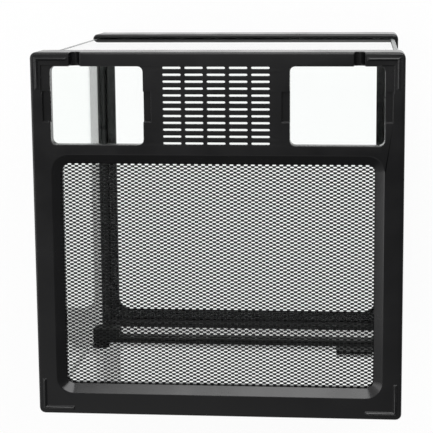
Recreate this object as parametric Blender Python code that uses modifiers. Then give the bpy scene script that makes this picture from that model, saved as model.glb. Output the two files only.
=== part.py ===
"""Front opening glass terrarium with a moulded lid, a mesh top, a hinged glass door and a turning lock."""

import math

import bmesh
import bpy

# Overall size. X is the width, Y runs from the door at the front to the back, Z is up.
TANK_WIDTH = 0.315
TANK_DEPTH = 0.315
TANK_HEIGHT = 0.330
FRAME_CORNER = 0.005
FRAME_EDGE_ROUND = 0.0016
GAP = 0.0003
ROUND_STEPS = 4
FLAT_ANGLE = math.radians(0.5)
SHARP_ANGLE = math.radians(40)
MERGE_DISTANCE = 0.00001
BEVEL_SEGMENTS = 2
TURN_STEPS = 20
HALF_TURN_STEPS = 8

# Glass
PANE = 0.004
FRAME_OVERHANG = 0.0042
FRONT_OVERHANG = 0.0042

# Base frame
BASE_HEIGHT = 0.041
BASE_WALL = 0.003
FLANGE_DROP = 0.004
FLANGE_THICKNESS = 0.0035
FLANGE_REACH = 0.0133
FLANGE_FRONT_REACH = 0.0143
FLANGE_CORNER = 0.0120

# Lid frame
SKIRT_HEIGHT = 0.034
SKIRT_WALL = 0.0028
SKIRT_STEP = 0.013
LID_PLATE = 0.011
HEADER_REACH = 0.0025

# Mesh opening in the lid
MESH_FROM_SIDE = 0.0245
MESH_FROM_FRONT = 0.0267
MESH_FROM_WINDOW = 0.0166
MESH_OPEN_CORNER = 0.0065
MESH_SLOPE_REACH = 0.0080
MESH_SLOPE_DROP = 0.0055
SLOPE_STEPS = 8
MESH_SEAT = 0.0058
MESH_SHEET = 0.0008
MESH_EDGE = 0.0055
MESH_COLUMNS = 10
MESH_ROWS = 14
MESH_STRAND = 0.0022
RETAINER_HEIGHT = 0.0033

# Rear windows, cable notches and clip pockets
WINDOW_FROM_SIDE = 0.0166
WINDOW_FROM_BACK = 0.0118
WINDOW_WIDTH = 0.0792
WINDOW_DEPTH = 0.0663
WINDOW_CORNER = 0.0045
NOTCH_FROM_WINDOW_SIDE = 0.0213
NOTCH_WIDTH = 0.0090
NOTCH_DEPTH = 0.0100
CLIP_REACH = 0.0066
CLIP_LENGTH = 0.0256
CLIP_FROM_WINDOW_FRONT = 0.0195
CLIP_DROP = 0.0040
LEDGE_REACH = 0.0076
LEDGE_LENGTH = 0.0222
LEDGE_DROP = 0.0015

# Slotted grille between the windows
SLOT_COLUMNS = 5
SLOT_ROWS = 12
SLOT_PITCH_X = 0.01865
SLOT_PITCH_Y = 0.00578
SLOT_LENGTH = 0.0157
SLOT_WIDTH = 0.0019
SLOT_FROM_WINDOW_BACK = 0.0012
SLOT_END_STEPS = 3
GRILLE_SKIN = 0.0026
GRILLE_MARGIN = 0.0040

# L shaped ribs on the lid's corners
RIB_LENGTH = 0.0268
RIB_WIDTH = 0.0026
RIB_HEIGHT = 0.0014
RIB_INSET = 0.0042

# Vent strip under the door
STRIP_FROM_BASE = 0.0627
STRIP_HEIGHT = 0.0166
STRIP_LIP = 0.0047
STRIP_FACE = 0.0010
STRIP_GROOVE = 0.0033
STOP_HEIGHT = 0.0040
STOP_WALL = 0.0010
STOP_MARGIN = 0.0010
BEARING_LENGTH = 0.0266
BEARING_REACH = 0.0086
VENT_PITCH = 0.0125
VENT_LENGTH = 0.0090
VENT_HEIGHT = 0.0022
VENT_FROM_HINGE = 0.0233

# Door and its hinge
DOOR_SIDE_GAP = 0.0011
DOOR_END_GAP = 0.0026
HINGE_FROM_PANE = 0.0060
CAP_WALL = 0.0014
CAP_PLATE = 0.0017
CAP_HEIGHT = 0.0160
CAP_LENGTH = 0.0178
CAP_CORNER = 0.0030
PIN_RADIUS = 0.0012
PIN_LENGTH = 0.0070
BUSH_WALL = 0.0006
BUSH_LENGTH = 0.0050

# Lock on the door's free side
LOCK_FROM_DOOR_EDGE = 0.0377
LOCK_HOUSING_LEFT = 0.0125
LOCK_HOUSING_RIGHT = 0.0235
LOCK_HOUSING_HEIGHT = 0.0240
LOCK_HOUSING_DEPTH = 0.0036
LOCK_HOUSING_CORNER = 0.0030
LOCK_AXIS_RISE = 0.0127
LOCK_FRONT_WALL = 0.0007
LOCK_BACK_WALL = 0.0013
LOCK_ROOM_MARGIN = 0.0015
LOCK_PLATE = 0.0012
BARREL_RADIUS = 0.0050
BARREL_PROUD = 0.0003
SPINDLE_RADIUS = 0.0025
KEYWAY_LENGTH = 0.0060
KEYWAY_WIDTH = 0.0012
KEYWAY_DEPTH = 0.0006
CAM_REACH = 0.0200
CAM_HALF_WIDTH = 0.0035
CAM_THICKNESS = 0.0010
KEEPER_LEFT = 0.0135
KEEPER_RIGHT = 0.0265
KEEPER_HEIGHT = 0.0118
KEEPER_WALL = 0.0007
KEEPER_FLOOR = 0.0040
KEEPER_END = 0.0050

# Silicone beads
SEAL_LEG = 0.0040
SEAL_LAND = 0.0008

# Levels and faces that follow from the sizes above
HALF_WIDTH = TANK_WIDTH / 2
HALF_DEPTH = TANK_DEPTH / 2
GLASS_X = HALF_WIDTH - FRAME_OVERHANG
GLASS_Y = HALF_DEPTH - FRAME_OVERHANG
FRONT_GLASS = HALF_DEPTH - FRONT_OVERHANG
INNER_X = GLASS_X - PANE
INNER_Y = GLASS_Y - PANE
FRONT_INNER = FRONT_GLASS - PANE
LID_BOTTOM = TANK_HEIGHT - SKIRT_HEIGHT
PLATE_BOTTOM = TANK_HEIGHT - LID_PLATE
MESH_HALF = HALF_WIDTH - MESH_FROM_SIDE
MESH_FRONT = HALF_DEPTH - MESH_FROM_FRONT
WINDOW_OUTER = HALF_WIDTH - WINDOW_FROM_SIDE
WINDOW_INNER = WINDOW_OUTER - WINDOW_WIDTH
WINDOW_BACK = HALF_DEPTH - WINDOW_FROM_BACK
WINDOW_FRONT = WINDOW_BACK - WINDOW_DEPTH
MESH_BACK = WINDOW_FRONT - MESH_FROM_WINDOW
SLOT_FIELD_BACK = WINDOW_BACK - SLOT_FROM_WINDOW_BACK
FLANGE_TOP = BASE_HEIGHT - FLANGE_DROP
STRIP_BOTTOM = BASE_HEIGHT + STRIP_FROM_BASE
PANE_FOOT = FLANGE_TOP + GAP
PANE_TOP = PLATE_BOTTOM - GAP
FLOOR_TOP = PANE_FOOT + PANE
STRIP_TOP = STRIP_BOTTOM + STRIP_HEIGHT
STRIP_FRONT = -FRONT_GLASS - STRIP_FACE
STRIP_BACK = -FRONT_INNER + STRIP_LIP
DOOR_BOTTOM = STRIP_TOP + DOOR_END_GAP
DOOR_TOP = LID_BOTTOM - DOOR_END_GAP
DOOR_MID_Y = -FRONT_GLASS + PANE / 2
DOOR_RIGHT = INNER_X - DOOR_SIDE_GAP
LOCK_CENTER_X = DOOR_RIGHT - LOCK_FROM_DOOR_EDGE
HINGE_X = -INNER_X + HINGE_FROM_PANE
BUSH_RADIUS = PIN_RADIUS + GAP + BUSH_WALL
LOCK_AXIS_Z = STRIP_TOP + LOCK_AXIS_RISE
LOCK_BACK = -FRONT_GLASS - GAP
LOCK_FRONT = LOCK_BACK - LOCK_HOUSING_DEPTH
ROOM_FRONT = LOCK_FRONT + LOCK_FRONT_WALL
ROOM_BACK = LOCK_BACK - LOCK_BACK_WALL
MESH_TOP = TANK_HEIGHT - MESH_SEAT - GAP
MESH_BOTTOM = MESH_TOP - MESH_SHEET
MESH_REACH = MESH_EDGE + GAP


def clear_scene():
    """Remove every object, so the file builds the same model each time."""
    for item in list(bpy.data.objects):
        bpy.data.objects.remove(item, do_unlink=True)


def new_collection(name):
    """A collection linked to the scene."""
    group = bpy.data.collections.new(name)
    bpy.context.scene.collection.children.link(group)
    return group


def new_material(name, color, roughness, metallic=0.0, transmission=0.0):
    """A Principled material with plain values."""
    material = bpy.data.materials.new(name)
    material.use_nodes = True
    shader = material.node_tree.nodes["Principled BSDF"]
    shader.inputs["Base Color"].default_value = (*color, 1.0)
    shader.inputs["Roughness"].default_value = roughness
    shader.inputs["Metallic"].default_value = metallic
    shader.inputs["Transmission Weight"].default_value = transmission
    material.diffuse_color = (*color, 1.0)
    return material


def arc(center_x, center_y, radius, start, end, steps):
    """Points along an arc, with both ends, angles in degrees."""
    angles = [math.radians(start + (end - start) * i / steps) for i in range(steps + 1)]
    return [(center_x + radius * math.cos(a), center_y + radius * math.sin(a)) for a in angles]


def rounded(left, right, low, high, radius, steps=ROUND_STEPS):
    """A rectangle with round corners, counterclockwise."""
    points = arc(right - radius, low + radius, radius, -90, 0, steps)
    points += arc(right - radius, high - radius, radius, 0, 90, steps)
    points += arc(left + radius, high - radius, radius, 90, 180, steps)
    points += arc(left + radius, low + radius, radius, 180, 270, steps)
    return points


def rectangle(reach_x, front, back):
    """A rectangle with sharp corners that reaches to both sides, to the front and to the back."""
    return [(reach_x, -front), (reach_x, back), (-reach_x, back), (-reach_x, -front)]


def stadium(center_x, center_y, length, width, steps=ROUND_STEPS):
    """A slot with round ends along X."""
    half = (length - width) / 2
    points = arc(center_x + half, center_y, width / 2, -90, 90, steps)
    points += arc(center_x - half, center_y, width / 2, 90, 270, steps)
    return points


def link(mesh, name, group, material=None):
    """Put a mesh in the scene as an object of that name."""
    item = bpy.data.objects.new(name, mesh)
    group.objects.link(item)
    if material is not None:
        mesh.materials.append(material)
    return item


def prism(name, outlines, low, high, group, material=None):
    """Flat outlines, the first solid and the others holes in it, raised from low to high along Z."""
    curve = bpy.data.curves.new(name, "CURVE")
    curve.dimensions = "2D"
    curve.fill_mode = "BOTH"
    curve.extrude = (high - low) / 2
    for outline in outlines:
        spline = curve.splines.new("POLY")
        spline.points.add(len(outline) - 1)
        spline.use_cyclic_u = True
        for point, (x, y) in zip(spline.points, outline):
            point.co = (x, y, 0.0, 1.0)
    flat = bpy.data.objects.new(name + "_outline", curve)
    group.objects.link(flat)
    bpy.context.view_layer.update()
    evaluated = flat.evaluated_get(bpy.context.evaluated_depsgraph_get())
    mesh = bpy.data.meshes.new_from_object(evaluated)
    bpy.data.objects.remove(flat, do_unlink=True)
    body = bmesh.new()
    body.from_mesh(mesh)
    bmesh.ops.remove_doubles(body, verts=body.verts, dist=MERGE_DISTANCE)
    bmesh.ops.translate(body, verts=body.verts, vec=(0, 0, (low + high) / 2))
    bmesh.ops.recalc_face_normals(body, faces=body.faces)
    if len(outlines) == 1:
        bmesh.ops.dissolve_limit(body, angle_limit=FLAT_ANGLE, verts=body.verts, edges=body.edges)
    body.to_mesh(mesh)
    body.free()
    mesh.name = name
    return link(mesh, name, group, material)


def loft(name, rings, group):
    """A closed body through outlines with the same number of points, each given with its level."""
    body = bmesh.new()
    corners = [[body.verts.new((x, y, level)) for x, y in outline] for outline, level in rings]
    for lower, upper in zip(corners, corners[1:]):
        for index in range(len(lower)):
            body.faces.new((lower[index - 1], lower[index], upper[index], upper[index - 1]))
    for end in (corners[0], corners[-1]):
        body.faces.new(end)
    bmesh.ops.recalc_face_normals(body, faces=body.faces)
    mesh = bpy.data.meshes.new(name)
    body.to_mesh(mesh)
    body.free()
    return link(mesh, name, group)


def boxes(name, spans, group, material=None):
    """One mesh of boxes, each span given as (x0, x1, y0, y1, z0, z1)."""
    body = bmesh.new()
    for x0, x1, y0, y1, z0, z1 in spans:
        made = bmesh.ops.create_cube(body, size=1.0)["verts"]
        bmesh.ops.scale(body, verts=made, vec=(x1 - x0, y1 - y0, z1 - z0))
        bmesh.ops.translate(body, verts=made, vec=((x0 + x1) / 2, (y0 + y1) / 2, (z0 + z1) / 2))
    mesh = bpy.data.meshes.new(name)
    body.to_mesh(mesh)
    body.free()
    return link(mesh, name, group, material)


def turned(name, profile, group, material=None, steps=TURN_STEPS):
    """A solid of revolution about Z from (radius, height) points that run from the top to the bottom."""
    body = bmesh.new()
    closed = profile[0] == profile[-1]
    corners = [body.verts.new((radius, 0, height)) for radius, height in profile[: -1 if closed else None]]
    following = corners[1:] + corners[:1] if closed else corners[1:]
    for first, second in zip(corners, following):
        body.edges.new((first, second))
    mesh = bpy.data.meshes.new(name)
    body.to_mesh(mesh)
    body.free()
    item = link(mesh, name, group, material)
    screw = item.modifiers.new("Turn", "SCREW")
    screw.angle = math.tau
    screw.steps = steps
    screw.render_steps = steps
    screw.use_merge_vertices = True
    screw.merge_threshold = MERGE_DISTANCE
    screw.use_smooth_shade = False
    return item


def rod(name, radius, low, high, group, material=None, steps=TURN_STEPS):
    """A closed cylinder about Z."""
    return turned(name, [(0, high), (radius, high), (radius, low), (0, low)], group, material, steps)


def place_x_y(item, x, y):
    """Stand a turned body on a vertical axis."""
    item.location = (x, y, 0)
    return item


def face_front(item, x, z):
    """Lay a body made along Z along Y, so that its low end looks to the front."""
    item.rotation_euler = (math.radians(-90), 0, 0)
    item.location = (x, 0, z)
    return item


def round_edges(item):
    """Round the sharp outer edges of a frame with a live bevel."""
    soften = item.modifiers.new("Edges", "BEVEL")
    soften.width = FRAME_EDGE_ROUND
    soften.segments = BEVEL_SEGMENTS
    soften.limit_method = "ANGLE"
    soften.angle_limit = SHARP_ANGLE


def boolean(target, tool, operation="DIFFERENCE"):
    """Cut or join a body with a hidden tool body."""
    modifier = target.modifiers.new(tool.name, "BOOLEAN")
    modifier.operation = operation
    modifier.solver = "EXACT"
    modifier.object = tool
    tool.hide_render = True
    tool.display_type = "WIRE"


def on_side(span, side):
    """A box as given for side 1, or its mirror image in the YZ plane for side -1."""
    x0, x1, y0, y1, z0, z1 = span
    return (*sorted((side * x0, side * x1)), y0, y1, z0, z1)


def build_base(parts, cutters, plastic):
    """Base frame: outer wall, top ledge round the panes and a flange that carries them."""
    outline = rounded(-HALF_WIDTH, HALF_WIDTH, -HALF_DEPTH, HALF_DEPTH, FRAME_CORNER)
    base = prism("base_frame", [outline], 0, BASE_HEIGHT, parts, plastic)
    round_edges(base)
    seat = rectangle(GLASS_X + GAP, FRONT_GLASS + GAP, GLASS_Y + GAP)
    boolean(base, prism("cut_base_seat", [seat], FLANGE_TOP, BASE_HEIGHT + PANE, cutters))
    hollow_x = HALF_WIDTH - BASE_WALL
    hollow_y = HALF_DEPTH - BASE_WALL
    hollow = rounded(-hollow_x, hollow_x, -hollow_y, hollow_y, FRAME_CORNER / 2)
    boolean(base, prism("cut_base_hollow", [hollow], -PANE, FLANGE_TOP - FLANGE_THICKNESS, cutters))
    open_x = INNER_X - FLANGE_REACH
    open_front = FRONT_INNER - FLANGE_FRONT_REACH
    open_back = INNER_Y - FLANGE_REACH
    middle = rounded(-open_x, open_x, -open_front, open_back, FLANGE_CORNER)
    boolean(base, prism("cut_base_middle", [middle], -2 * PANE, BASE_HEIGHT + 2 * PANE, cutters))


def build_panes(parts, glass):
    """Fixed panes: floor, two sides, the back and the low front pane."""
    side = INNER_X - GAP
    front = -FRONT_INNER + GAP
    back = INNER_Y - GAP
    groove = STRIP_BOTTOM + STRIP_GROOVE - GAP
    spans = {
        "bottom_glass": (-side, side, front, back, PANE_FOOT, FLOOR_TOP),
        "left_glass": (-GLASS_X, -INNER_X, -FRONT_GLASS, GLASS_Y, PANE_FOOT, PANE_TOP),
        "right_glass": (INNER_X, GLASS_X, -FRONT_GLASS, GLASS_Y, PANE_FOOT, PANE_TOP),
        "back_glass": (-side, side, INNER_Y, GLASS_Y, PANE_FOOT, PANE_TOP),
        "front_glass": (-side, side, -FRONT_GLASS, -FRONT_INNER, PANE_FOOT, groove),
    }
    for name, span in spans.items():
        boxes(name, [span], parts, glass)


def build_seals(parts, cutters, silicone):
    """Silicone: a bead in each upright corner and a ring round the floor pane."""
    reach_x = INNER_X - GAP
    reach_back = INNER_Y - GAP
    reach_front = FRONT_INNER - GAP
    low = FLOOR_TOP + SEAL_LEG + 2 * GAP
    tops = {"back": PANE_TOP, "front": STRIP_BOTTOM - GAP}
    for side_name, side in (("left", -1), ("right", 1)):
        for end_name, end in (("back", 1), ("front", -1)):
            corner_x = side * reach_x
            corner_y = reach_back if end > 0 else -reach_front
            far = arc(SEAL_LEG, SEAL_LEG, SEAL_LEG - SEAL_LAND, 270, 180, ROUND_STEPS)
            shape = [(0, 0), (SEAL_LEG, 0), *far, (0, SEAL_LEG)]
            outline = [(corner_x - side * x, corner_y - end * y) for x, y in shape]
            prism(f"seal_{end_name}_{side_name}", [outline], low, tops[end_name], parts, silicone)
    foot = FLOOR_TOP + GAP
    outer = rounded(-reach_x, reach_x, -reach_front, reach_back, SEAL_LAND)
    ring = prism("seal_bottom", [outer], foot, foot + SEAL_LEG, parts, silicone)
    beyond = (SEAL_LEG - SEAL_LAND) * GAP / SEAL_LEG
    rings = []
    for inset, level in ((SEAL_LEG + beyond, foot - GAP), (SEAL_LAND - beyond, foot + SEAL_LEG + GAP)):
        slope_x = reach_x - inset
        front = inset - reach_front
        rings.append((rounded(-slope_x, slope_x, front, reach_back - inset, SEAL_LAND), level))
    boolean(ring, loft("cut_seal_slope", rings, cutters))


def lid_hollow(reach_x, front, back):
    """Outline of the space under the lid, which leaves the header over the door standing."""
    header_x = INNER_X - GAP
    header_y = -FRONT_INNER + HEADER_REACH
    return [
        (-reach_x, back), (-reach_x, -front), (-header_x, -front), (-header_x, header_y),
        (header_x, header_y), (header_x, -front), (reach_x, -front), (reach_x, back),
    ]


def cut_mesh_opening(lid, cutters):
    """The sloped opening over the mesh and the recess under it that takes the sheet and its ring."""
    half = MESH_HALF
    low = PLATE_BOTTOM - PANE
    grow = MESH_SLOPE_REACH * (MESH_SLOPE_DROP + PANE) / MESH_SLOPE_DROP
    corner = MESH_OPEN_CORNER + grow
    land = rounded(-half, half, -MESH_FRONT, MESH_BACK, MESH_OPEN_CORNER, SLOPE_STEPS)
    wide = rounded(-half - grow, half + grow, -MESH_FRONT - grow, MESH_BACK + grow, corner, SLOPE_STEPS)
    rings = [(land, low), (land, TANK_HEIGHT - MESH_SLOPE_DROP), (wide, TANK_HEIGHT + PANE)]
    boolean(lid, loft("cut_mesh_slope", rings, cutters))
    edge = half + MESH_REACH
    recess = rounded(-edge, edge, -MESH_FRONT - MESH_REACH, MESH_BACK + MESH_REACH, MESH_OPEN_CORNER)
    boolean(lid, prism("cut_mesh_recess", [recess], low, TANK_HEIGHT - MESH_SEAT, cutters))


def cut_windows(lid, cutters):
    """Rear windows, the U notches behind them and the pockets for the clips of their covers."""
    inner = WINDOW_INNER
    outer = WINDOW_OUTER
    back = WINDOW_BACK
    notch_x = outer - NOTCH_FROM_WINDOW_SIDE
    clip_low = WINDOW_FRONT + CLIP_FROM_WINDOW_FRONT
    clip_high = clip_low + CLIP_LENGTH
    floor = TANK_HEIGHT - CLIP_DROP
    top = TANK_HEIGHT + PANE
    spans = [
        (outer - PANE, outer + CLIP_REACH, clip_low, clip_high, floor, top),
        (inner - CLIP_REACH, inner + PANE, clip_low, clip_high, floor, top),
    ]
    ledge_back = clip_high + LEDGE_LENGTH
    ledge_low = TANK_HEIGHT - LEDGE_DROP
    ledge = (outer - PANE, outer + LEDGE_REACH, clip_high - PANE / 4, ledge_back, ledge_low, top)
    for side in (-1, 1):
        name = "left" if side < 0 else "right"
        left, right = sorted((side * inner, side * outer))
        hole = rounded(left, right, WINDOW_FRONT, back, WINDOW_CORNER)
        boolean(lid, prism(f"cut_window_{name}", [hole], PLATE_BOTTOM - PANE, top, cutters))
        boolean(lid, boxes(f"cut_clips_{name}", [on_side(span, side) for span in spans], cutters))
        boolean(lid, boxes(f"cut_ledge_{name}", [on_side(ledge, side)], cutters))
        groove_low = TANK_HEIGHT - NOTCH_DEPTH + NOTCH_WIDTH / 2
        groove = arc(side * notch_x, groove_low, NOTCH_WIDTH / 2, 180, 360, HALF_TURN_STEPS)
        groove += [(side * notch_x + NOTCH_WIDTH / 2, top), (side * notch_x - NOTCH_WIDTH / 2, top)]
        notch = prism(f"cut_notch_{name}", [groove], -HALF_DEPTH - PANE, PANE - back, cutters)
        notch.rotation_euler = (math.radians(90), 0, 0)
        boolean(lid, notch)


def cut_grille(lid, cutters):
    """The field of slots and the hollow that leaves a thin skin there."""
    half = SLOT_PITCH_X * (SLOT_COLUMNS - 1) / 2 + SLOT_LENGTH / 2 + GRILLE_MARGIN
    half = min(half, WINDOW_INNER - CLIP_REACH - SKIRT_WALL)
    back = SLOT_FIELD_BACK + SLOT_WIDTH
    front = SLOT_FIELD_BACK - SLOT_PITCH_Y * (SLOT_ROWS - 1) - GRILLE_MARGIN / 2
    hollow = rounded(-half, half, front, back, SLOT_WIDTH)
    low = PLATE_BOTTOM - PANE
    boolean(lid, prism("cut_grille_hollow", [hollow], low, TANK_HEIGHT - GRILLE_SKIN, cutters))
    slots = []
    for row in range(SLOT_ROWS):
        for column in range(SLOT_COLUMNS):
            x = (column - (SLOT_COLUMNS - 1) / 2) * SLOT_PITCH_X
            y = SLOT_FIELD_BACK - row * SLOT_PITCH_Y
            slots.append(stadium(x, y, SLOT_LENGTH, SLOT_WIDTH, SLOT_END_STEPS))
    boolean(lid, prism("cut_slots", slots, TANK_HEIGHT - 2 * GRILLE_SKIN, TANK_HEIGHT + PANE, cutters))


def add_ribs(lid, cutters):
    """Raised L ribs near the four corners, which keep a lamp or a second tank from sliding."""
    far_x = HALF_WIDTH - RIB_INSET
    far_y = HALF_DEPTH - RIB_INSET
    shape = [
        (far_x, far_y), (far_x - RIB_LENGTH, far_y), (far_x - RIB_LENGTH, far_y - RIB_WIDTH),
        (far_x - RIB_WIDTH, far_y - RIB_WIDTH), (far_x - RIB_WIDTH, far_y - RIB_LENGTH),
        (far_x, far_y - RIB_LENGTH),
    ]
    for index, (side, end) in enumerate(((1, 1), (-1, 1), (-1, -1), (1, -1))):
        outline = [(side * x, end * y) for x, y in shape]
        rib = prism(f"rib_{index}", [outline], TANK_HEIGHT - RIB_HEIGHT, TANK_HEIGHT + RIB_HEIGHT, cutters)
        boolean(lid, rib, "UNION")


def build_lid(parts, cutters, plastic):
    """Lid frame: skirt, plate, header over the door and every opening in the plate."""
    outline = rounded(-HALF_WIDTH, HALF_WIDTH, -HALF_DEPTH, HALF_DEPTH, FRAME_CORNER)
    lid = prism("top_frame", [outline], LID_BOTTOM, TANK_HEIGHT, parts, plastic)
    round_edges(lid)
    inside = HALF_DEPTH - SKIRT_WALL
    skirt = lid_hollow(HALF_WIDTH - SKIRT_WALL, inside, inside)
    step = PLATE_BOTTOM - SKIRT_STEP
    boolean(lid, prism("cut_lid_skirt", [skirt], LID_BOTTOM - PANE, step, cutters))
    seat = lid_hollow(GLASS_X + GAP, FRONT_GLASS + GAP, GLASS_Y + GAP)
    boolean(lid, prism("cut_lid_seat", [seat], step - PANE, PLATE_BOTTOM, cutters))
    cut_mesh_opening(lid, cutters)
    cut_windows(lid, cutters)
    cut_grille(lid, cutters)
    high = LID_BOTTOM + BUSH_LENGTH + 2 * GAP
    bearing = rod("cut_bush_upper", BUSH_RADIUS + GAP, LID_BOTTOM - PANE, high, cutters)
    boolean(lid, place_x_y(bearing, HINGE_X, DOOR_MID_Y))
    add_ribs(lid, cutters)


def build_mesh(parts, cutters, metal, plastic):
    """Expanded metal sheet with staggered diamond gaps, and the ring under it."""
    half = MESH_HALF
    edge = half + MESH_EDGE
    front = -MESH_FRONT - MESH_EDGE
    back = MESH_BACK + MESH_EDGE
    outlines = [rounded(-edge, edge, front, back, MESH_OPEN_CORNER)]
    pitch_x = 2 * MESH_HALF / MESH_COLUMNS
    pitch_y = (MESH_BACK + MESH_FRONT) / MESH_ROWS
    half_x = pitch_x / 2 - MESH_STRAND
    half_y = pitch_y / 2 - MESH_STRAND / 2
    for row in range(2 * MESH_ROWS - 1):
        shift = row % 2
        for column in range(MESH_COLUMNS - shift):
            x = -half + pitch_x * (column + 0.5 + shift / 2)
            y = -MESH_FRONT + pitch_y / 2 * (row + 1)
            outlines.append([(x + half_x, y), (x, y + half_y), (x - half_x, y), (x, y - half_y)])
    prism("mesh_panel", outlines, MESH_BOTTOM, MESH_TOP, parts, metal)
    outer = rounded(-edge, edge, front, back, MESH_OPEN_CORNER)
    inner = rounded(-half, half, -MESH_FRONT, MESH_BACK, MESH_OPEN_CORNER)
    top = MESH_BOTTOM - GAP
    prism("mesh_retainer", [outer, inner], top - RETAINER_HEIGHT, top, parts, plastic)


def build_vent_strip(parts, cutters, plastic):
    """Profile on the low front pane: groove below, vents, a bearing block at the hinge, a door stop."""
    side = INNER_X - GAP
    body = (-side, side, STRIP_FRONT, STRIP_BACK, STRIP_BOTTOM, STRIP_TOP)
    strip = boxes("vent_strip", [body], parts, plastic)
    block_back = STRIP_BACK + BEARING_REACH
    block = (-side, -side + BEARING_LENGTH, STRIP_BACK - GAP, block_back, STRIP_BOTTOM, STRIP_TOP)
    boolean(strip, boxes("bearing_block", [block], cutters), "UNION")
    stop_left = -INNER_X + DOOR_SIDE_GAP + CAP_LENGTH + STOP_MARGIN
    stop_front = -FRONT_INNER + 2 * GAP
    stop_right = side - STOP_MARGIN
    stop_top = STRIP_TOP + STOP_HEIGHT
    stop = (stop_left, stop_right, stop_front, stop_front + STOP_WALL, STRIP_TOP - GAP, stop_top)
    boolean(strip, boxes("stop_lip", [stop], cutters), "UNION")
    groove_top = STRIP_BOTTOM + STRIP_GROOVE
    groove_span = (-FRONT_GLASS - GAP, -FRONT_INNER + GAP, STRIP_BOTTOM - PANE, groove_top)
    groove = (-HALF_WIDTH, HALF_WIDTH, *groove_span)
    boolean(strip, boxes("cut_strip_groove", [groove], cutters))
    middle = (groove_top + STRIP_TOP) / 2
    start = HINGE_X + VENT_FROM_HINGE
    count = int((LOCK_CENTER_X - KEEPER_LEFT - start) / VENT_PITCH)
    vents = []
    for index in range(count):
        x = start + VENT_PITCH * index
        low = middle - VENT_HEIGHT / 2
        vents.append((x, x + VENT_LENGTH, STRIP_FRONT - PANE, STRIP_BACK + PANE, low, low + VENT_HEIGHT))
    boolean(strip, boxes("cut_vents", vents, cutters))
    low = STRIP_TOP - BUSH_LENGTH - 2 * GAP
    bearing = rod("cut_bush_lower", BUSH_RADIUS + GAP, low, STRIP_TOP + PANE, cutters)
    boolean(strip, place_x_y(bearing, HINGE_X, DOOR_MID_Y))


def build_hinge(parts, cutters, plastic, steel, nylon, door_root):
    """Caps on the door's corners, the pins in them and the bushes that the pins turn in."""
    half = PANE / 2 + CAP_WALL
    left = -INNER_X + DOOR_SIDE_GAP
    for name, end, sign in (("lower", DOOR_BOTTOM, 1), ("upper", DOOR_TOP, -1)):
        plate = end - sign * (CAP_PLATE + GAP)
        levels = sorted((plate, plate + sign * CAP_HEIGHT))
        outline = rounded(left, left + CAP_LENGTH, DOOR_MID_Y - half, DOOR_MID_Y + half, CAP_CORNER)
        cap = prism(f"hinge_cap_{name}", [outline], *levels, parts, plastic)
        slot_levels = sorted((end - sign * GAP, end + sign * (CAP_HEIGHT + PANE)))
        thin = PANE / 2 + GAP
        slot = (left - PANE, left + CAP_LENGTH + PANE, DOOR_MID_Y - thin, DOOR_MID_Y + thin, *slot_levels)
        boolean(cap, boxes(f"cut_cap_slot_{name}", [slot], cutters))
        hole_levels = sorted((plate - sign * PANE, end + sign * PANE / 4))
        hole = rod(f"cut_cap_pin_{name}", PIN_RADIUS + GAP, *hole_levels, cutters)
        boolean(cap, place_x_y(hole, HINGE_X, DOOR_MID_Y))
        pin_end = end - sign * 2 * GAP
        pin_levels = sorted((pin_end, pin_end - sign * PIN_LENGTH))
        pin = place_x_y(rod(f"hinge_pin_{name}", PIN_RADIUS, *pin_levels, parts, steel), HINGE_X, DOOR_MID_Y)
        for item in (cap, pin):
            attach(item, door_root)
        seat = STRIP_TOP if sign > 0 else LID_BOTTOM
        low, high = sorted((seat - sign * GAP, seat - sign * (GAP + BUSH_LENGTH)))
        inner = PIN_RADIUS + GAP
        ring = [(BUSH_RADIUS, high), (BUSH_RADIUS, low), (inner, low), (inner, high), (BUSH_RADIUS, high)]
        place_x_y(turned(f"hinge_bush_{name}", ring, parts, nylon), HINGE_X, DOOR_MID_Y)


def attach(item, root):
    """Parent a moving piece to its joint's empty and keep its place."""
    bpy.context.view_layer.update()
    item.parent = root
    item.matrix_parent_inverse = root.matrix_world.inverted()


def build_door(parts, glass, door_root):
    """Door pane between the vent strip and the header."""
    left = -INNER_X + DOOR_SIDE_GAP + GAP
    span = (left, DOOR_RIGHT, -FRONT_GLASS, -FRONT_INNER, DOOR_BOTTOM, DOOR_TOP)
    attach(boxes("door_glass", [span], parts, glass), door_root)


def build_lock_housing(parts, cutters, plastic, door_root):
    """Housing on the door: a room for the cam, open below, and the bore of the barrel."""
    left = LOCK_CENTER_X - LOCK_HOUSING_LEFT
    right = LOCK_CENTER_X + LOCK_HOUSING_RIGHT
    low = STRIP_TOP + LOCK_ROOM_MARGIN
    high = low + LOCK_HOUSING_HEIGHT
    outline = rounded(left, right, -high, -low, LOCK_HOUSING_CORNER)
    housing = prism("lock_housing", [outline], LOCK_FRONT, LOCK_BACK, parts, plastic)
    housing.rotation_euler = (math.radians(-90), 0, 0)
    room_left = LOCK_CENTER_X - CAM_HALF_WIDTH - LOCK_ROOM_MARGIN
    room_right = LOCK_CENTER_X + CAM_REACH + LOCK_ROOM_MARGIN
    room_top = LOCK_AXIS_Z + CAM_HALF_WIDTH + LOCK_ROOM_MARGIN
    room = (room_left, room_right, ROOM_FRONT, ROOM_BACK, STRIP_TOP, room_top)
    boolean(housing, boxes("cut_lock_room", [room], cutters))
    radius = BARREL_RADIUS + GAP
    bore = rod("cut_lock_bore", radius, LOCK_FRONT - PANE, ROOM_FRONT + PANE / 4, cutters)
    boolean(housing, face_front(bore, LOCK_CENTER_X, LOCK_AXIS_Z))
    radius = SPINDLE_RADIUS + GAP
    spindle = rod("cut_lock_spindle", radius, ROOM_BACK - PANE / 4, LOCK_BACK - 2 * GAP, cutters)
    boolean(housing, face_front(spindle, LOCK_CENTER_X, LOCK_AXIS_Z))
    attach(housing, door_root)


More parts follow.
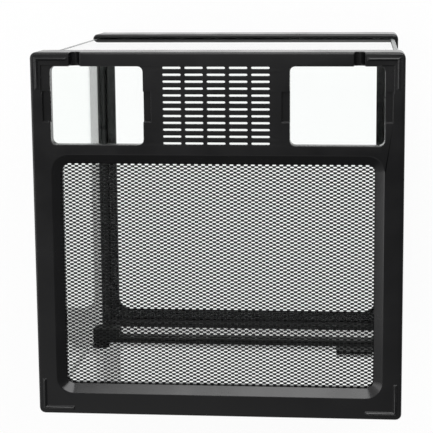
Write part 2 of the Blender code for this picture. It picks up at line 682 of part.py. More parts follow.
def build_lock_plate(parts, plastic, door_root):
    """Plate on the inside of the door, as tall and wide as the housing in front of it."""
    left = LOCK_CENTER_X - LOCK_HOUSING_LEFT
    right = LOCK_CENTER_X + LOCK_HOUSING_RIGHT
    front = -FRONT_INNER + GAP
    low = STRIP_TOP + STOP_HEIGHT + 2 * GAP
    high = STRIP_TOP + LOCK_ROOM_MARGIN + LOCK_HOUSING_HEIGHT
    span = (left, right, front, front + LOCK_PLATE, low, high)
    attach(boxes("lock_plate", [span], parts, plastic), door_root)


def build_lock(parts, cutters, steel, plastic, door_root, lock_root):
    """Barrel with a keyway, and the cam that it turns down behind the keeper."""
    build_lock_housing(parts, cutters, plastic, door_root)
    build_lock_plate(parts, plastic, door_root)
    face = LOCK_FRONT - BARREL_PROUD
    cam_front = (ROOM_FRONT + ROOM_BACK - CAM_THICKNESS) / 2
    cam_back = cam_front + CAM_THICKNESS
    shoulder = cam_front - GAP
    tail = LOCK_BACK - 3 * GAP
    profile = [(0, tail), (SPINDLE_RADIUS, tail), (SPINDLE_RADIUS, shoulder)]
    profile += [(BARREL_RADIUS, shoulder), (BARREL_RADIUS, face), (0, face)]
    barrel = face_front(turned("lock_barrel", profile, parts, steel), LOCK_CENTER_X, LOCK_AXIS_Z)
    half_long = KEYWAY_LENGTH / 2
    half_wide = KEYWAY_WIDTH / 2
    keyway = (
        LOCK_CENTER_X - half_long, LOCK_CENTER_X + half_long, face - PANE, face + KEYWAY_DEPTH,
        LOCK_AXIS_Z - half_wide, LOCK_AXIS_Z + half_wide,
    )
    boolean(barrel, boxes("cut_keyway", [keyway], cutters))
    half_width = CAM_HALF_WIDTH
    outline = arc(0, 0, half_width, 90, 270, HALF_TURN_STEPS)
    tip = CAM_REACH - half_width / 2
    nose = half_width / 2
    outline += [(tip, -half_width), (CAM_REACH, -nose), (CAM_REACH, nose), (tip, half_width)]
    cam = prism("lock_cam", [outline], cam_front, cam_back, parts, steel)
    boolean(cam, rod("cut_cam_hole", SPINDLE_RADIUS + GAP, cam_front - PANE, cam_back + PANE, cutters))
    face_front(cam, LOCK_CENTER_X, LOCK_AXIS_Z)
    cutter = bpy.data.objects["cut_cam_hole"]
    face_front(cutter, LOCK_CENTER_X, LOCK_AXIS_Z)
    for item in (barrel, cam):
        attach(item, lock_root)


def build_keeper(parts, cutters, plastic):
    """Keeper on the front of the vent strip, with a pocket behind its face for the cam."""
    left = LOCK_CENTER_X - KEEPER_LEFT
    right = LOCK_CENTER_X + KEEPER_RIGHT
    back = STRIP_FRONT - GAP
    top = STRIP_TOP - GAP
    low = top - KEEPER_HEIGHT
    keeper = boxes("lock_keeper", [(left, right, LOCK_FRONT, back, low, top)], parts, plastic)
    pocket_left = LOCK_CENTER_X - CAM_HALF_WIDTH - LOCK_ROOM_MARGIN
    pocket = (
        pocket_left, right - KEEPER_END, LOCK_FRONT + KEEPER_WALL, back + PANE,
        low + KEEPER_FLOOR, top + PANE,
    )
    boolean(keeper, boxes("cut_keeper_pocket", [pocket], cutters))


def joint_root(name, location, group, parent=None):
    """An empty on a joint's axis."""
    root = bpy.data.objects.new(name, None)
    root.empty_display_size = 0.02
    root.location = location
    group.objects.link(root)
    if parent is not None:
        attach(root, parent)
    return root


def shade(parts):
    """Smooth shading on the bodies with round faces."""
    for item in parts.objects:
        if item.type == "MESH" and item.name.startswith(("hinge_", "lock_", "top_", "base_")):
            item.data.shade_smooth()
            item.data.set_sharp_from_angle(angle=SHARP_ANGLE)


def main():
    clear_scene()
    parts = new_collection("terrarium")
    cutters = new_collection("cutters")
    plastic = new_material("black_plastic", (0.018, 0.018, 0.019), 0.42)
    glass = new_material("float_glass", (0.86, 0.93, 0.90), 0.03, transmission=0.9)
    silicone = new_material("black_silicone", (0.015, 0.015, 0.016), 0.38)
    metal = new_material("black_coated_mesh", (0.015, 0.015, 0.016), 0.45, metallic=0.3)
    steel = new_material("steel", (0.55, 0.55, 0.56), 0.30, metallic=1.0)
    nylon = new_material("nylon", (0.60, 0.60, 0.58), 0.50)
    door_root = joint_root("door_axis", (HINGE_X, DOOR_MID_Y, DOOR_BOTTOM), parts)
    lock_root = joint_root("lock_axis", (LOCK_CENTER_X, LOCK_FRONT, LOCK_AXIS_Z), parts, door_root)
    build_base(parts, cutters, plastic)
    build_panes(parts, glass)
    build_seals(parts, cutters, silicone)
    build_vent_strip(parts, cutters, plastic)
    build_lid(parts, cutters, plastic)
    build_mesh(parts, cutters, metal, plastic)
    build_door(parts, glass, door_root)
    build_hinge(parts, cutters, plastic, steel, nylon, door_root)
    build_lock(parts, cutters, steel, plastic, door_root, lock_root)
    build_keeper(parts, cutters, plastic)
    shade(parts)


main()
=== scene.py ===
import math

import bmesh
import bpy
import numpy as np
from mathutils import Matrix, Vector


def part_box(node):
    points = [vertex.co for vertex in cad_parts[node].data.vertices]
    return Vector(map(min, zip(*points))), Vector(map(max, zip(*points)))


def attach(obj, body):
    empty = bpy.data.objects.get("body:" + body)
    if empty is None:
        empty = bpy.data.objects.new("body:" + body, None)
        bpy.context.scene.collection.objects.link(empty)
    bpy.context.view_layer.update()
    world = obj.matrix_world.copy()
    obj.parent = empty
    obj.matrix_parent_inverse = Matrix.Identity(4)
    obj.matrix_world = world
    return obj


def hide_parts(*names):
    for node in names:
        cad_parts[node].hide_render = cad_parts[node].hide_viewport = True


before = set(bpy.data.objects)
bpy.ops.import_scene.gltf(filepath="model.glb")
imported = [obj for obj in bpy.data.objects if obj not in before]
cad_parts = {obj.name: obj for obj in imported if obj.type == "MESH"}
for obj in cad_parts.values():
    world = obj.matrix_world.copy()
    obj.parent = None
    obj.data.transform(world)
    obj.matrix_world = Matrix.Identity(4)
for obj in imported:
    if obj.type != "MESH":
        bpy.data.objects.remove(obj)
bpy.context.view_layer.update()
print("stage 1: packed terrarium loaded")


def mm(value):  # millimetres to metres, for a number or an array
    return value * 0.001


def hexColour(code):  # sRGB hex to the linear colour that a shader reads
    parts = np.array([int(code[i:i + 2], 16) for i in (0, 2, 4)]) / 255
    linear = np.where(parts <= 0.04045, parts / 12.92, ((parts + 0.055) / 1.055) ** 2.4)
    return (*linear.tolist(), 1.0)


def perMetre(sizeMm):  # texture scale whose pattern repeats at this size
    return 1000 / sizeMm


def addNode(tree, kind, settings=None, links=None):
    # A setting is an input, by name or number, or else a property of the node. A Mix node's
    # inputs are 0 for the share, 2 and 3 for two values, 6 and 7 for two colours.
    node = tree.nodes.new(kind)
    for key, value in (settings or {}).items():
        if isinstance(key, int) or key in node.inputs:
            node.inputs[key].default_value = value
        else:
            setattr(node, key, value)
    for key, socket in (links or {}).items():
        tree.links.new(socket, node.inputs[key])
    return node


def newFinish(name, uniform):
    # A Principled material with its uniform values, and the places on the piece to draw on.
    material = bpy.data.materials.new(name)
    material.use_nodes = True
    tree = material.node_tree
    shader = tree.nodes["Principled BSDF"]
    for key, value in uniform.items():
        shader.inputs[key].default_value = value
    place = addNode(tree, "ShaderNodeTexCoord").outputs
    return material, tree, shader, place


def paintByPattern(tree, shader, pattern, look, span=(0.0, 1.0)):
    # One pattern drives tone and gloss: the colour runs from the first tone to the second with
    # it, and the roughness runs from smooth to dull while the pattern rises through the span.
    tone = addNode(tree, "ShaderNodeMix", {
        "data_type": "RGBA", 6: hexColour(look["tones"][0]), 7: hexColour(look["tones"][1]),
    }, {0: pattern})
    rough = addNode(tree, "ShaderNodeMapRange", {
        "From Min": span[0], "From Max": span[1], "To Min": look["smooth"], "To Max": look["dull"],
    }, {"Value": pattern})
    tree.links.new(tone.outputs[2], shader.inputs["Base Color"])
    tree.links.new(rough.outputs["Result"], shader.inputs["Roughness"])


def joinBump(tree, shader, height, depthMm):  # height pattern to the shader's normal
    bump = addNode(tree, "ShaderNodeBump", {"Distance": mm(depthMm), "Strength": 1.0}, {"Height": height})
    tree.links.new(bump.outputs["Normal"], shader.inputs["Normal"])


noiseSpan = (0.3, 0.7)  # where nearly all of a noise pattern lies


mouldedAbsLook = {
    "tones": ("0f0f10", "161617"), "smooth": 0.17, "dull": 0.28, "index": 1.5,
    "flowMm": 38.0, "grainMm": 0.55, "grainDepthMm": 0.012,
}
extrudedPvcLook = {
    "tones": ("181a18", "202320"), "smooth": 0.4, "dull": 0.52, "index": 1.25,
    "flowMm": 22.0, "grainMm": 0.4, "grainDepthMm": 0.015,
}


def makeBlackPlastic(name, look):
    # mouldedAbs: ABS, injection moulded in a spark-eroded tool, black and satin. extrudedPvc: PVC,
    # extruded with a matting agent, black and nearly without gloss, which the low index stands
    # for. The fine grain spreads the highlights, and slow flow marks change the gloss a little
    # over the face.
    material, tree, shader, place = newFinish(name, {"IOR": look["index"]})
    spot = {"Vector": place["Object"]}
    flow = addNode(tree, "ShaderNodeTexNoise", {"Scale": perMetre(look["flowMm"]), "Detail": 3.0}, spot)
    grain = addNode(tree, "ShaderNodeTexNoise", {"Scale": perMetre(look["grainMm"]), "Detail": 2.0}, spot)
    paintByPattern(tree, shader, flow.outputs["Fac"], look, noiseSpan)
    joinBump(tree, shader, grain.outputs["Fac"], look["grainDepthMm"])
    return material


floatGlassLook = {
    "edge": "d5ebe2", "faceCosine": 0.8, "edgeRough": 0.22, "grindMm": 0.35, "grindDepthMm": 0.01,
    "faceRough": 0.0, "smearRough": 0.012, "smearMm": 60.0, "smearSpan": (0.5, 0.8),
}
# Name, axis across the pane, index of refraction, clear coat and tint. Float glass has an index of
# 1.52. The side panes and the floor pane get less, because they mirror only faintly in the
# photograph, and the back pane gets a coat, because it mirrors strongly.
paneLooks = {
    "side": ("floatGlassSide", 0, 1.40, 0.0, "fcfffd"),
    "front": ("floatGlassFront", 1, 1.52, 0.0, "fdfffe"),
    "back": ("floatGlassBack", 1, 1.52, 1.0, "fdfffe"),
    "floor": ("floatGlassFloor", 2, 1.15, 0.0, "fdfffe"),
}


def makeFloatGlass(name, thinAxis, index, coat, tint):
    # Soda-lime float glass, cut and ground at its edges: clear with a faint green, smooth on its
    # faces but for thin smears, and a deeper green with a frosted grind on the narrow edges.
    look = floatGlassLook
    material, tree, shader, place = newFinish(name, {
        "Transmission Weight": 1.0, "IOR": index, "Coat Weight": coat, "Coat Roughness": 0.0,
    })
    sides = addNode(tree, "ShaderNodeSeparateXYZ", {}, {"Vector": place["Normal"]})
    facing = addNode(tree, "ShaderNodeMath", {"operation": "ABSOLUTE"}, {0: sides.outputs[thinAxis]})
    onEdge = addNode(tree, "ShaderNodeMath", {
        "operation": "LESS_THAN", 1: look["faceCosine"],
    }, {0: facing.outputs[0]})
    spot = {"Vector": place["Object"]}
    smear = addNode(tree, "ShaderNodeTexNoise", {"Scale": perMetre(look["smearMm"]), "Detail": 4.0}, spot)
    grind = addNode(tree, "ShaderNodeTexNoise", {"Scale": perMetre(look["grindMm"])}, spot)
    film = addNode(tree, "ShaderNodeMapRange", {
        "From Min": look["smearSpan"][0], "From Max": look["smearSpan"][1],
        "To Min": look["faceRough"], "To Max": look["smearRough"],
    }, {"Value": smear.outputs["Fac"]})
    rough = addNode(tree, "ShaderNodeMix", {3: look["edgeRough"]}, {
        0: onEdge.outputs[0], 2: film.outputs["Result"],
    })
    tone = addNode(tree, "ShaderNodeMix", {
        "data_type": "RGBA", 6: hexColour(tint), 7: hexColour(look["edge"]),
    }, {0: onEdge.outputs[0]})
    relief = addNode(tree, "ShaderNodeMath", {"operation": "MULTIPLY"}, {
        0: grind.outputs["Fac"], 1: onEdge.outputs[0],
    })
    tree.links.new(tone.outputs[2], shader.inputs["Base Color"])
    tree.links.new(rough.outputs[0], shader.inputs["Roughness"])
    joinBump(tree, shader, relief.outputs[0], look["grindDepthMm"])
    return material


siliconeLook = {
    "tones": ("1c1e1d", "2a2c2b"), "smooth": 0.24, "dull": 0.42, "toolMm": 14.0, "toolDepthMm": 0.15,
}


def makeBlackSilicone():
    # Black silicone sealant, run from a gun and tooled with a finger: soft and rubbery, with slow
    # waves along the bead that break its highlight.
    look = siliconeLook
    material, tree, shader, place = newFinish("blackSilicone", {"IOR": 1.41})
    waves = addNode(tree, "ShaderNodeTexNoise", {
        "Scale": perMetre(look["toolMm"]), "Detail": 3.0,
    }, {"Vector": place["Object"]})
    paintByPattern(tree, shader, waves.outputs["Fac"], look, noiseSpan)
    joinBump(tree, shader, waves.outputs["Fac"], look["toolDepthMm"])
    return material


coatedSteelLook = {
    "tones": ("0a0a0b", "121213"), "smooth": 0.34, "dull": 0.5, "peelMm": 0.9, "peelDepthMm": 0.03,
}


def makeCoatedSteel():
    # Expanded steel, powder coated: black and semi-gloss. The orange peel of the coat makes each
    # strand glint a little differently.
    look = coatedSteelLook
    material, tree, shader, place = newFinish("coatedSteel", {"Specular IOR Level": 0.4, "IOR": 1.5})
    peel = addNode(tree, "ShaderNodeTexNoise", {
        "Scale": perMetre(look["peelMm"]), "Detail": 2.0,
    }, {"Vector": place["Object"]})
    paintByPattern(tree, shader, peel.outputs["Fac"], look, noiseSpan)
    joinBump(tree, shader, peel.outputs["Fac"], look["peelDepthMm"])
    return material


turnedSteelLook = {
    "tones": ("c9cbcf", "a9abb0"), "smooth": 0.22, "dull": 0.38, "lineMm": 0.25, "lineDepthMm": 0.008,
}
waveRepeat = math.tau / 20  # a Wave texture of scale 1 repeats at this distance


def makeTurnedSteel(name, axis, middle):
    # Steel, turned and nickel plated: bright, with fine rings round its axis that stretch the
    # highlight. The rings are drawn wider than real tool marks so that they show.
    look = turnedSteelLook
    material, tree, shader, place = newFinish(name, {"Metallic": 1.0})
    centred = addNode(tree, "ShaderNodeMapping", {
        "Location": tuple(-c for c in middle),
    }, {"Vector": place["Object"]})
    rings = addNode(tree, "ShaderNodeTexWave", {
        "wave_type": "RINGS", "rings_direction": axis, "Scale": perMetre(look["lineMm"]) * waveRepeat,
        "Distortion": 0.6, "Detail": 1.0,
    }, {"Vector": centred.outputs["Vector"]})
    paintByPattern(tree, shader, rings.outputs["Fac"], look)
    joinBump(tree, shader, rings.outputs["Fac"], look["lineDepthMm"])
    return material


nylonLook = {"tones": ("dedbcd", "cfcbbb"), "smooth": 0.36, "dull": 0.5, "speckMm": 1.2}


def makeNylon():
    # Natural nylon, moulded: waxy off-white that lets a little light in.
    look = nylonLook
    material, tree, shader, place = newFinish("naturalNylon", {
        "Subsurface Weight": 0.25, "Subsurface Scale": mm(1.0), "IOR": 1.53,
    })
    specks = addNode(tree, "ShaderNodeTexNoise", {
        "Scale": perMetre(look["speckMm"]),
    }, {"Vector": place["Object"]})
    paintByPattern(tree, shader, specks.outputs["Fac"], look)
    return material


def middleOf(node):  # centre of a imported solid's box
    low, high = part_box(node)
    return (low + high) / 2


mouldedAbs = makeBlackPlastic("mouldedAbs", mouldedAbsLook)
extrudedPvc = makeBlackPlastic("extrudedPvc", extrudedPvcLook)
floatGlass = {pane: makeFloatGlass(*facts) for pane, facts in paneLooks.items()}
blackSilicone = makeBlackSilicone()
coatedSteel = makeCoatedSteel()
pinSteel = makeTurnedSteel("turnedSteelPin", "Z", middleOf("hinge_pin_lower"))
lockSteel = makeTurnedSteel("turnedSteelLock", "Y", middleOf("lock_barrel"))
naturalNylon = makeNylon()
print("stage 2: finishes made")


keptSolids = {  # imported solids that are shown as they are
    "mesh_retainer": mouldedAbs, "lock_plate": extrudedPvc, "lock_barrel": lockSteel, "lock_cam": lockSteel,
    "hinge_pin_lower": pinSteel, "hinge_pin_upper": pinSteel,
    "hinge_bush_lower": naturalNylon, "hinge_bush_upper": naturalNylon,
}


def dress(node, material):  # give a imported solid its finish
    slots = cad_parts[node].data.materials
    slots.clear()
    slots.append(material)


for node, material in keptSolids.items():
    dress(node, material)


roundedCopies = {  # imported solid: piece, body, edge radius in mm, finish, slot
    "top_frame": ("lidMoulding", "tank", 1.2, mouldedAbs, "black_plastic"),
    "base_frame": ("baseMoulding", "tank", 0.5, mouldedAbs, "black_plastic"),
    "vent_strip": ("ventProfile", "tank", 0.3, extrudedPvc, "black_plastic"),
    "lock_keeper": ("keeperMoulding", "tank", 0.3, extrudedPvc, "black_plastic"),
    "lock_housing": ("lockMoulding", "door", 0.5, mouldedAbs, "black_plastic"),
    "hinge_cap_lower": ("lowerCapMoulding", "door", 0.4, mouldedAbs, "black_plastic"),
    "hinge_cap_upper": ("upperCapMoulding", "door", 0.4, mouldedAbs, "black_plastic"),
    "bottom_glass": ("floorPane", "tank", 0.4, floatGlass["floor"], "float_glass"),
    "left_glass": ("leftPane", "tank", 0.4, floatGlass["side"], "float_glass"),
    "right_glass": ("rightPane", "tank", 0.4, floatGlass["side"], "float_glass"),
    "back_glass": ("backPane", "tank", 0.4, floatGlass["back"], "float_glass"),
    "front_glass": ("lowFrontPane", "tank", 0.4, floatGlass["front"], "float_glass"),
    "door_glass": ("doorPane", "door", 0.4, floatGlass["front"], "float_glass"),
}
edgeRounding = {  # an edge that turns more than sharpDegrees gets a radius
    "sharpDegrees": 34.0, "flatDegrees": 0.5, "mergeMm": 0.003, "segments": 2, "faceWeight": 60,
}
lidEdges = {  # shares of the lid's edge radius, and the stretches in mm where they hold
    "plain": 0.55, "rib": 1.0, "pocket": 0.3, "slot": 0.2, "ribAbove": 330.6,
    "pocketOuterX": (138.0, 151.0), "pocketInnerX": (53.0, 63.5), "pocketY": (96.0, 150.0),
    "slotX": 47.0, "slotY": (74.0, 150.0),
}


def between(values, span):  # true inside the span
    return (values > span[0]) & (values < span[1])


def lidEdgeShares(middles):
    # Share of the full edge radius for each edge of the lid, from the middle of the edge in mm:
    # ribs all of it, the clips' pockets and the slots little, every other edge about half.
    x, y, z = np.abs(middles[:, 0]), middles[:, 1], middles[:, 2]
    shares = np.full(len(middles), lidEdges["plain"])
    byWindow = between(x, lidEdges["pocketOuterX"]) | between(x, lidEdges["pocketInnerX"])
    shares[byWindow & between(y, lidEdges["pocketY"])] = lidEdges["pocket"]
    shares[(x < lidEdges["slotX"]) & between(y, lidEdges["slotY"])] = lidEdges["slot"]
    shares[z > lidEdges["ribAbove"]] = lidEdges["rib"]
    return shares


def roundedCopy(node, name, body, radiusMm, material, slot):
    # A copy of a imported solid: its triangles are merged and paired into quads, then the sharp
    # edges get a small radius, as a mould or a grinding belt gives them. The normals are weighted
    # by the area of the faces, so flat faces shade flat up to the radius.
    sharp = math.radians(edgeRounding["sharpDegrees"])
    shape = bmesh.new()
    shape.from_mesh(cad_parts[node].data)
    bmesh.ops.remove_doubles(shape, verts=shape.verts, dist=mm(edgeRounding["mergeMm"]))
    bmesh.ops.join_triangles(
        shape, faces=shape.faces, angle_face_threshold=math.radians(edgeRounding["flatDegrees"]),
        angle_shape_threshold=math.pi,
    )
    angles = np.array([edge.calc_face_angle(0.0) for edge in shape.edges])
    middles = np.array([(edge.verts[0].co + edge.verts[1].co) / 2 for edge in shape.edges]) * 1000
    mesh = bpy.data.meshes.new(name)
    shape.to_mesh(mesh)
    shape.free()
    mesh.attributes.remove(mesh.attributes["custom_normal"])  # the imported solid's flat shading
    mesh.shade_smooth()
    mesh.materials.append(material)
    piece = bpy.data.objects.new(name, mesh)
    bpy.context.scene.collection.objects.link(piece)
    soften = piece.modifiers.new("edgeRadius", "BEVEL")
    soften.width = mm(radiusMm)
    soften.segments = edgeRounding["segments"]
    soften.use_clamp_overlap = False
    if node == "top_frame":
        soften.limit_method = "WEIGHT"
        shares = np.where(angles > sharp, lidEdgeShares(middles), 0.0)
        weights = mesh.attributes.new("bevel_weight_edge", "FLOAT", "EDGE")
        weights.data.foreach_set("value", shares.astype(np.float32))
    else:
        soften.limit_method = "ANGLE"
        soften.angle_limit = sharp
    flatten = piece.modifiers.new("faceNormals", "WEIGHTED_NORMAL")
    flatten.weight = edgeRounding["faceWeight"]
    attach(piece, body)
    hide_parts(node)


for node, facts in roundedCopies.items():
    roundedCopy(node, *facts)
print("stage 3: mouldings and panes rounded")


def gridPiece(name, points, closeRows, closeColumns, material, smooth=True):
    # points is (parts, rows, columns, 3). Each part is a grid whose neighbours are joined by
    # quads: a closed direction joins its last line to its first, and the open ends of a closed
    # tube get a cap.
    parts, rows, columns = points.shape[:3]
    index = np.arange(parts * rows * columns).reshape(parts, rows, columns)
    ring = np.pad(index, ((0, 0), (0, int(closeRows)), (0, int(closeColumns))), mode="wrap")
    quads = np.stack([ring[:, :-1, :-1], ring[:, :-1, 1:], ring[:, 1:, 1:], ring[:, 1:, :-1]], axis=-1)
    loops = [quads.ravel()]
    totals = [np.full(quads.size // 4, 4)]
    if closeColumns and not closeRows:
        for ends in (index[:, 0, ::-1], index[:, -1]):
            loops.append(ends.ravel())
            totals.append(np.full(parts, columns))
    loops, totals = np.concatenate(loops), np.concatenate(totals)
    mesh = bpy.data.meshes.new(name)
    mesh.vertices.add(parts * rows * columns)
    mesh.vertices.foreach_set("co", points.astype(np.float32).ravel())
    mesh.loops.add(len(loops))
    mesh.loops.foreach_set("vertex_index", loops.astype(np.int32))
    mesh.polygons.add(len(totals))
    mesh.polygons.foreach_set("loop_start", (np.cumsum(totals) - totals).astype(np.int32))
    mesh.polygons.foreach_set("use_smooth", np.full(len(totals), smooth))
    mesh.update(calc_edges=True)
    mesh.validate()
    mesh.materials.append(material)
    piece = bpy.data.objects.new(name, mesh)
    bpy.context.scene.collection.objects.link(piece)
    return piece


meshSheet = {  # lengths in mm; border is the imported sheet's hidden rim, which the fine one leaves out
    "longPitch": 6.04, "shortPitch": 3.17, "joint": 2.55, "width": 0.86, "thickness": 0.46,
    "tiltDegrees": 24.0, "border": 1.5, "wander": 0.06, "wanderLength": 41.0, "wanderRows": (9.0, 13.0),
}


def buildMeshSheet():
    # Expanded metal: each strand is a flat bar along X whose centre line steps between joints
    # with the strand above and the strand below, half a diamond apart. In words: y = strand
    # number * half the short pitch, plus or minus the step, with flats as long as a joint, plus
    # wander * sin(x / wanderLength + strand / first of wanderRows) * cos(strand / second of them).
    # The bar's section is a rectangle leaned by the tilt.
    facts = meshSheet
    low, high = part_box("mesh_panel")
    border = mm(facts["border"])
    left, right = low.x + border, high.x - border
    front, back = low.y + border, high.y - border
    long, short = mm(facts["longPitch"]), mm(facts["shortPitch"])
    strands = int((back - front) / (short / 2))
    pitches = int((right - left) / long)
    tilt = math.radians(facts["tiltDegrees"])
    wide, thick = mm(facts["width"]), mm(facts["thickness"])
    seen = wide * math.cos(tilt) + thick * math.sin(tilt)
    step = short / 4 - seen / 2
    joint = mm(facts["joint"]) / long
    breaks = np.array([-joint / 2, joint / 2, 0.5 - joint / 2, 0.5 + joint / 2])
    along = (np.arange(pitches)[:, None] + breaks[None, :]).ravel()
    levels = np.tile([-1.0, -1.0, 1.0, 1.0], pitches)
    row = np.arange(strands)[:, None]
    shift = np.where(row % 2 == 0, 0.0, 0.5)
    x = (left + right) / 2 + (along[None, :] + shift - pitches / 2) * long
    y = (front + back) / 2 + (row - (strands - 1) / 2) * short / 2 + levels[None, :] * step
    inSine, inCosine = facts["wanderRows"]
    wave = np.sin(x / mm(facts["wanderLength"]) + row / inSine) * np.cos(row / inCosine)
    y = y + mm(facts["wander"]) * wave
    section = np.array([[-wide, -thick], [wide, -thick], [wide, thick], [-wide, thick]]) / 2
    turn = np.array([[math.cos(tilt), math.sin(tilt)], [-math.sin(tilt), math.cos(tilt)]])
    section = section @ turn
    points = np.zeros((strands, x.shape[1], 4, 3))
    points[..., 0] = x[:, :, None]
    points[..., 1] = y[:, :, None] + section[:, 0]
    points[..., 2] = (low.z + high.z) / 2 + section[:, 1]
    sheet = gridPiece("expandedMesh", points, False, True, coatedSteel, smooth=False)
    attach(sheet, "tank")
    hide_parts("mesh_panel")


buildMeshSheet()
print("stage 4: expanded mesh made")


beadShape = {  # lengths in mm
    "leg": 4.0, "land": 0.8, "steps": 7, "waver": 0.12, "waverLength": 23.0, "rowEvery": 6.0,
    "sharpDegrees": 50.0,
}


def beadSection():
    # Section of a tooled bead in its corner: out along one pane, a hollow arc, and back to the corner.
    leg, land = mm(beadShape["leg"]), mm(beadShape["land"])
    turn = np.linspace(1.5 * math.pi, math.pi, beadShape["steps"])
    hollow = leg + (leg - land) * np.stack([np.cos(turn), np.sin(turn)], axis=-1)
    return np.concatenate([[[0.0, 0.0], [leg, 0.0]], hollow, [[0.0, leg]]])


def sweepBead(name, node, path, inward, upward, closed):
    # Carries the section along a path: point = path + inward * u + upward * v, where u and v are
    # scaled by the swell, 1 - waver / leg * (1 + sin(length / waverLength * tau)).
    length = np.concatenate([[0.0], np.cumsum(np.linalg.norm(np.diff(path, axis=0), axis=1))])
    ripple = 1 + np.sin(length / mm(beadShape["waverLength"]) * math.tau)
    swell = 1 - beadShape["waver"] / beadShape["leg"] * ripple
    section = beadSection()
    points = path[:, None] + swell[:, None, None] * (
        inward[:, None] * section[None, :, :1] + upward[:, None] * section[None, :, 1:]
    )
    piece = gridPiece(name, points[None], closed, True, blackSilicone)
    shape = bmesh.new()
    shape.from_mesh(piece.data)
    bmesh.ops.recalc_face_normals(shape, faces=shape.faces)
    shape.to_mesh(piece.data)
    shape.free()
    piece.data.set_sharp_from_angle(angle=math.radians(beadShape["sharpDegrees"]))
    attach(piece, "tank")
    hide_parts(node)


def buildCornerBeads():
    # An upright bead in each corner of the tank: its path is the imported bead's outer corner, from
    # its foot to its top, and its section opens towards the middle of the tank.
    for end, endSign in (("back", 1), ("front", -1)):
        for side, sideSign in (("left", -1), ("right", 1)):
            node = f"seal_{end}_{side}"
            low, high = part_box(node)
            rows = max(2, int((high.z - low.z) / mm(beadShape["rowEvery"])))
            path = np.zeros((rows, 3))
            path[:, 0] = high.x if sideSign > 0 else low.x
            path[:, 1] = high.y if endSign > 0 else low.y
            path[:, 2] = np.linspace(low.z, high.z, rows)
            inward = np.tile([-sideSign, 0.0, 0.0], (rows, 1))
            upward = np.tile([0.0, -endSign, 0.0], (rows, 1))
            sweepBead(f"{end}{side.capitalize()}Bead", node, path, inward, upward, False)


def buildFloorBead():
    # A closed bead round the floor pane: its path is a rectangle, with the same number of rows on
    # each side, and the row on a corner points along the diagonal.
    low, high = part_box("seal_bottom")
    count = int((high.x - low.x) / mm(beadShape["rowEvery"]))
    run = np.linspace(0, 1, count, endpoint=False)
    square = np.array([[low.x, low.y], [high.x, low.y], [high.x, high.y], [low.x, high.y]])
    towards = np.roll(square, -1, axis=0)
    flat = (square[:, None] + (towards - square)[:, None] * run[None, :, None]).reshape(-1, 2)
    path = np.column_stack([flat, np.full(len(flat), low.z)])
    normals = np.array([[0.0, 1.0], [-1.0, 0.0], [0.0, -1.0], [1.0, 0.0]])
    inward = np.repeat(normals, count, axis=0)
    inward[::count] = normals + np.roll(normals, 1, axis=0)
    inward = np.column_stack([inward, np.zeros(len(inward))])
    upward = np.tile([0.0, 0.0, 1.0], (len(path), 1))
    sweepBead("floorBead", "seal_bottom", path, inward, upward, True)


buildCornerBeads()
buildFloorBead()
print("stage 5: silicone beads made")


floorLook = {  # seen is the share that glows to the eye, through the share to gloss and glass
    "sizeM": 12.0, "tones": ("fbfbfb", "ffffff"), "cloudMm": 6.0, "seen": 0.93, "through": 0.985,
}


def buildFloor():
    # A level sheet of white vinyl, calendered and matt, with a faint cloudy tone: a grid of four
    # points at the height of the base's foot. It glows in part, so that it looks white to the eye
    # and in gloss and glass, and the rest of it takes the light and keeps the shadow.
    half = floorLook["sizeM"] / 2
    u, v = np.meshgrid([-half, half], [-half, half])
    points = np.stack([u, v, np.zeros_like(u)], axis=-1)[None]
    material, tree, shader, place = newFinish("whiteVinyl", {"Roughness": 0.9, "Specular IOR Level": 0.1})
    clouds = addNode(tree, "ShaderNodeTexNoise", {
        "Scale": perMetre(floorLook["cloudMm"]),
    }, {"Vector": place["Object"]})
    tone = addNode(tree, "ShaderNodeMix", {
        "data_type": "RGBA", 6: hexColour(floorLook["tones"][0]), 7: hexColour(floorLook["tones"][1]),
    }, {0: clouds.outputs["Fac"]})
    tree.links.new(tone.outputs[2], shader.inputs["Base Color"])
    rays = addNode(tree, "ShaderNodeLightPath").outputs
    eye = addNode(tree, "ShaderNodeMath", {
        "operation": "MULTIPLY", 1: floorLook["seen"],
    }, {0: rays["Is Camera Ray"]})
    bounced = addNode(tree, "ShaderNodeMath", {"operation": "MAXIMUM"}, {
        0: rays["Is Glossy Ray"], 1: rays["Is Transmission Ray"],
    })
    share = addNode(tree, "ShaderNodeMath", {
        "operation": "MULTIPLY_ADD", 1: floorLook["through"],
    }, {0: bounced.outputs[0], 2: eye.outputs[0]})
    bright = addNode(tree, "ShaderNodeEmission", {"Color": (1, 1, 1, 1), "Strength": 1.0})
    mixed = addNode(tree, "ShaderNodeMixShader", {}, {
        0: share.outputs[0], 1: shader.outputs["BSDF"], 2: bright.outputs["Emission"],
    })
    tree.links.new(mixed.outputs["Shader"], tree.nodes["Material Output"].inputs["Surface"])
    floor = gridPiece("studioFloor", points, False, False, material)


roomLevels = {"ambient": 0.5, "gloss": 0.095}  # for soft light on matt faces, and for reflections
glows = {  # what gloss sees: direction, cosines of its edge and its full strength, strength
    "rearWall": ((0.12, 0.97, 0.2), 0.6, 1.0, 0.65),
    "leftWall": ((-0.97, 0.0, 0.24), 0.55, 1.0, 0.36),
    "frontPanel": ((-0.22, -0.47, 0.855), 0.935, 0.985, 0.32),
    "skylight": ((-0.1, 0.1, 0.99), 0.975, 0.988, 0.36),
    "rearLeft": ((-0.7, 0.49, 0.52), 0.72, 1.0, 0.6),
}


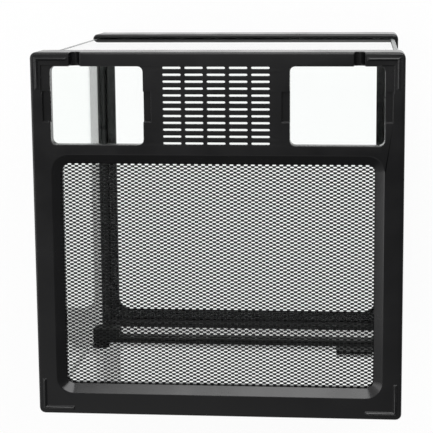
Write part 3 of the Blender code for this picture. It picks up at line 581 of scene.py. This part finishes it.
def buildWorld():
    # Even surroundings, white to the eye and through glass, and grey as a light. Gloss sees a dim
    # room with glows: level = gloss + strength * share, where share runs from 0 to 1 as the cosine
    # between the ray and the glow's direction runs from edge to full.
    world = bpy.data.worlds.new("studioWorld")
    bpy.context.scene.world = world
    world.use_nodes = True
    tree = world.node_tree
    background = tree.nodes["Background"]
    background.inputs["Color"].default_value = (1, 1, 1, 1)
    way = addNode(tree, "ShaderNodeTexCoord").outputs["Generated"]
    glow = addNode(tree, "ShaderNodeValue")
    glow.outputs[0].default_value = roomLevels["gloss"]
    for direction, edge, full, strength in glows.values():
        cosine = addNode(tree, "ShaderNodeVectorMath", {"operation": "DOT_PRODUCT", 1: direction}, {0: way})
        share = addNode(tree, "ShaderNodeMapRange", {
            "interpolation_type": "SMOOTHSTEP", "From Min": edge, "From Max": full,
        }, {"Value": cosine.outputs["Value"]})
        glow = addNode(tree, "ShaderNodeMath", {"operation": "MULTIPLY_ADD", 1: strength}, {
            0: share.outputs["Result"], 2: glow.outputs[0],
        })
    rays = addNode(tree, "ShaderNodeLightPath").outputs
    unseen = addNode(tree, "ShaderNodeMix", {2: roomLevels["ambient"]}, {
        0: rays["Is Glossy Ray"], 3: glow.outputs[0],
    })
    clear = addNode(tree, "ShaderNodeMath", {"operation": "MAXIMUM"}, {
        0: rays["Is Camera Ray"], 1: rays["Is Transmission Ray"],
    })
    level = addNode(tree, "ShaderNodeMix", {3: 1.0}, {0: clear.outputs[0], 2: unseen.outputs[0]})
    tree.links.new(level.outputs[0], background.inputs["Strength"])


softboxAim = (0.0, 0.0, 0.2)  # a little over half of the tank's height
softboxes = {  # place in metres, width and height in metres, watts
    "rearSoftbox": ((0.27, 1.15, 1.63), 1.4, 1.3, 22.5),
    "leftSoftbox": ((-1.35, -0.1, 1.5), 0.8, 1.0, 5.0),
}


def buildLights():
    for name, (place, width, height, watts) in softboxes.items():
        lamp = bpy.data.lights.new(name, "AREA")
        lamp.shape = "RECTANGLE"
        lamp.size, lamp.size_y, lamp.energy = width, height, watts
        box = bpy.data.objects.new(name, lamp)
        bpy.context.scene.collection.objects.link(box)
        box.location = place
        box.rotation_euler = (Vector(softboxAim) - Vector(place)).to_track_quat("-Z", "Y").to_euler()
        box.visible_camera = False
        box.visible_transmission = False


cameraView = {  # found from the lid's and the base's corners in the photograph
    "placeMm": (123.98, 234.59, 1532.57), "turnDegrees": (-9.3634, 4.8424, -0.3166),
    "lensMm": 120.50, "sensorMm": 36.0, "shiftX": -0.0577, "shiftY": -0.0462, "nearM": 0.05, "farM": 50.0,
}


def buildCamera():
    data = bpy.data.cameras.new("photoCamera")
    data.lens, data.sensor_width = cameraView["lensMm"], cameraView["sensorMm"]
    data.shift_x, data.shift_y = cameraView["shiftX"], cameraView["shiftY"]
    data.clip_start, data.clip_end = cameraView["nearM"], cameraView["farM"]
    camera = bpy.data.objects.new("photoCamera", data)
    bpy.context.scene.collection.objects.link(camera)
    camera.location = [mm(c) for c in cameraView["placeMm"]]
    camera.rotation_euler = [math.radians(a) for a in cameraView["turnDegrees"]]
    bpy.context.scene.camera = camera


buildFloor()
buildWorld()
buildLights()
buildCamera()
bpy.context.scene.view_settings.view_transform = "Standard"
print("stage 6: studio and camera set")

bpy.context.view_layer.update()
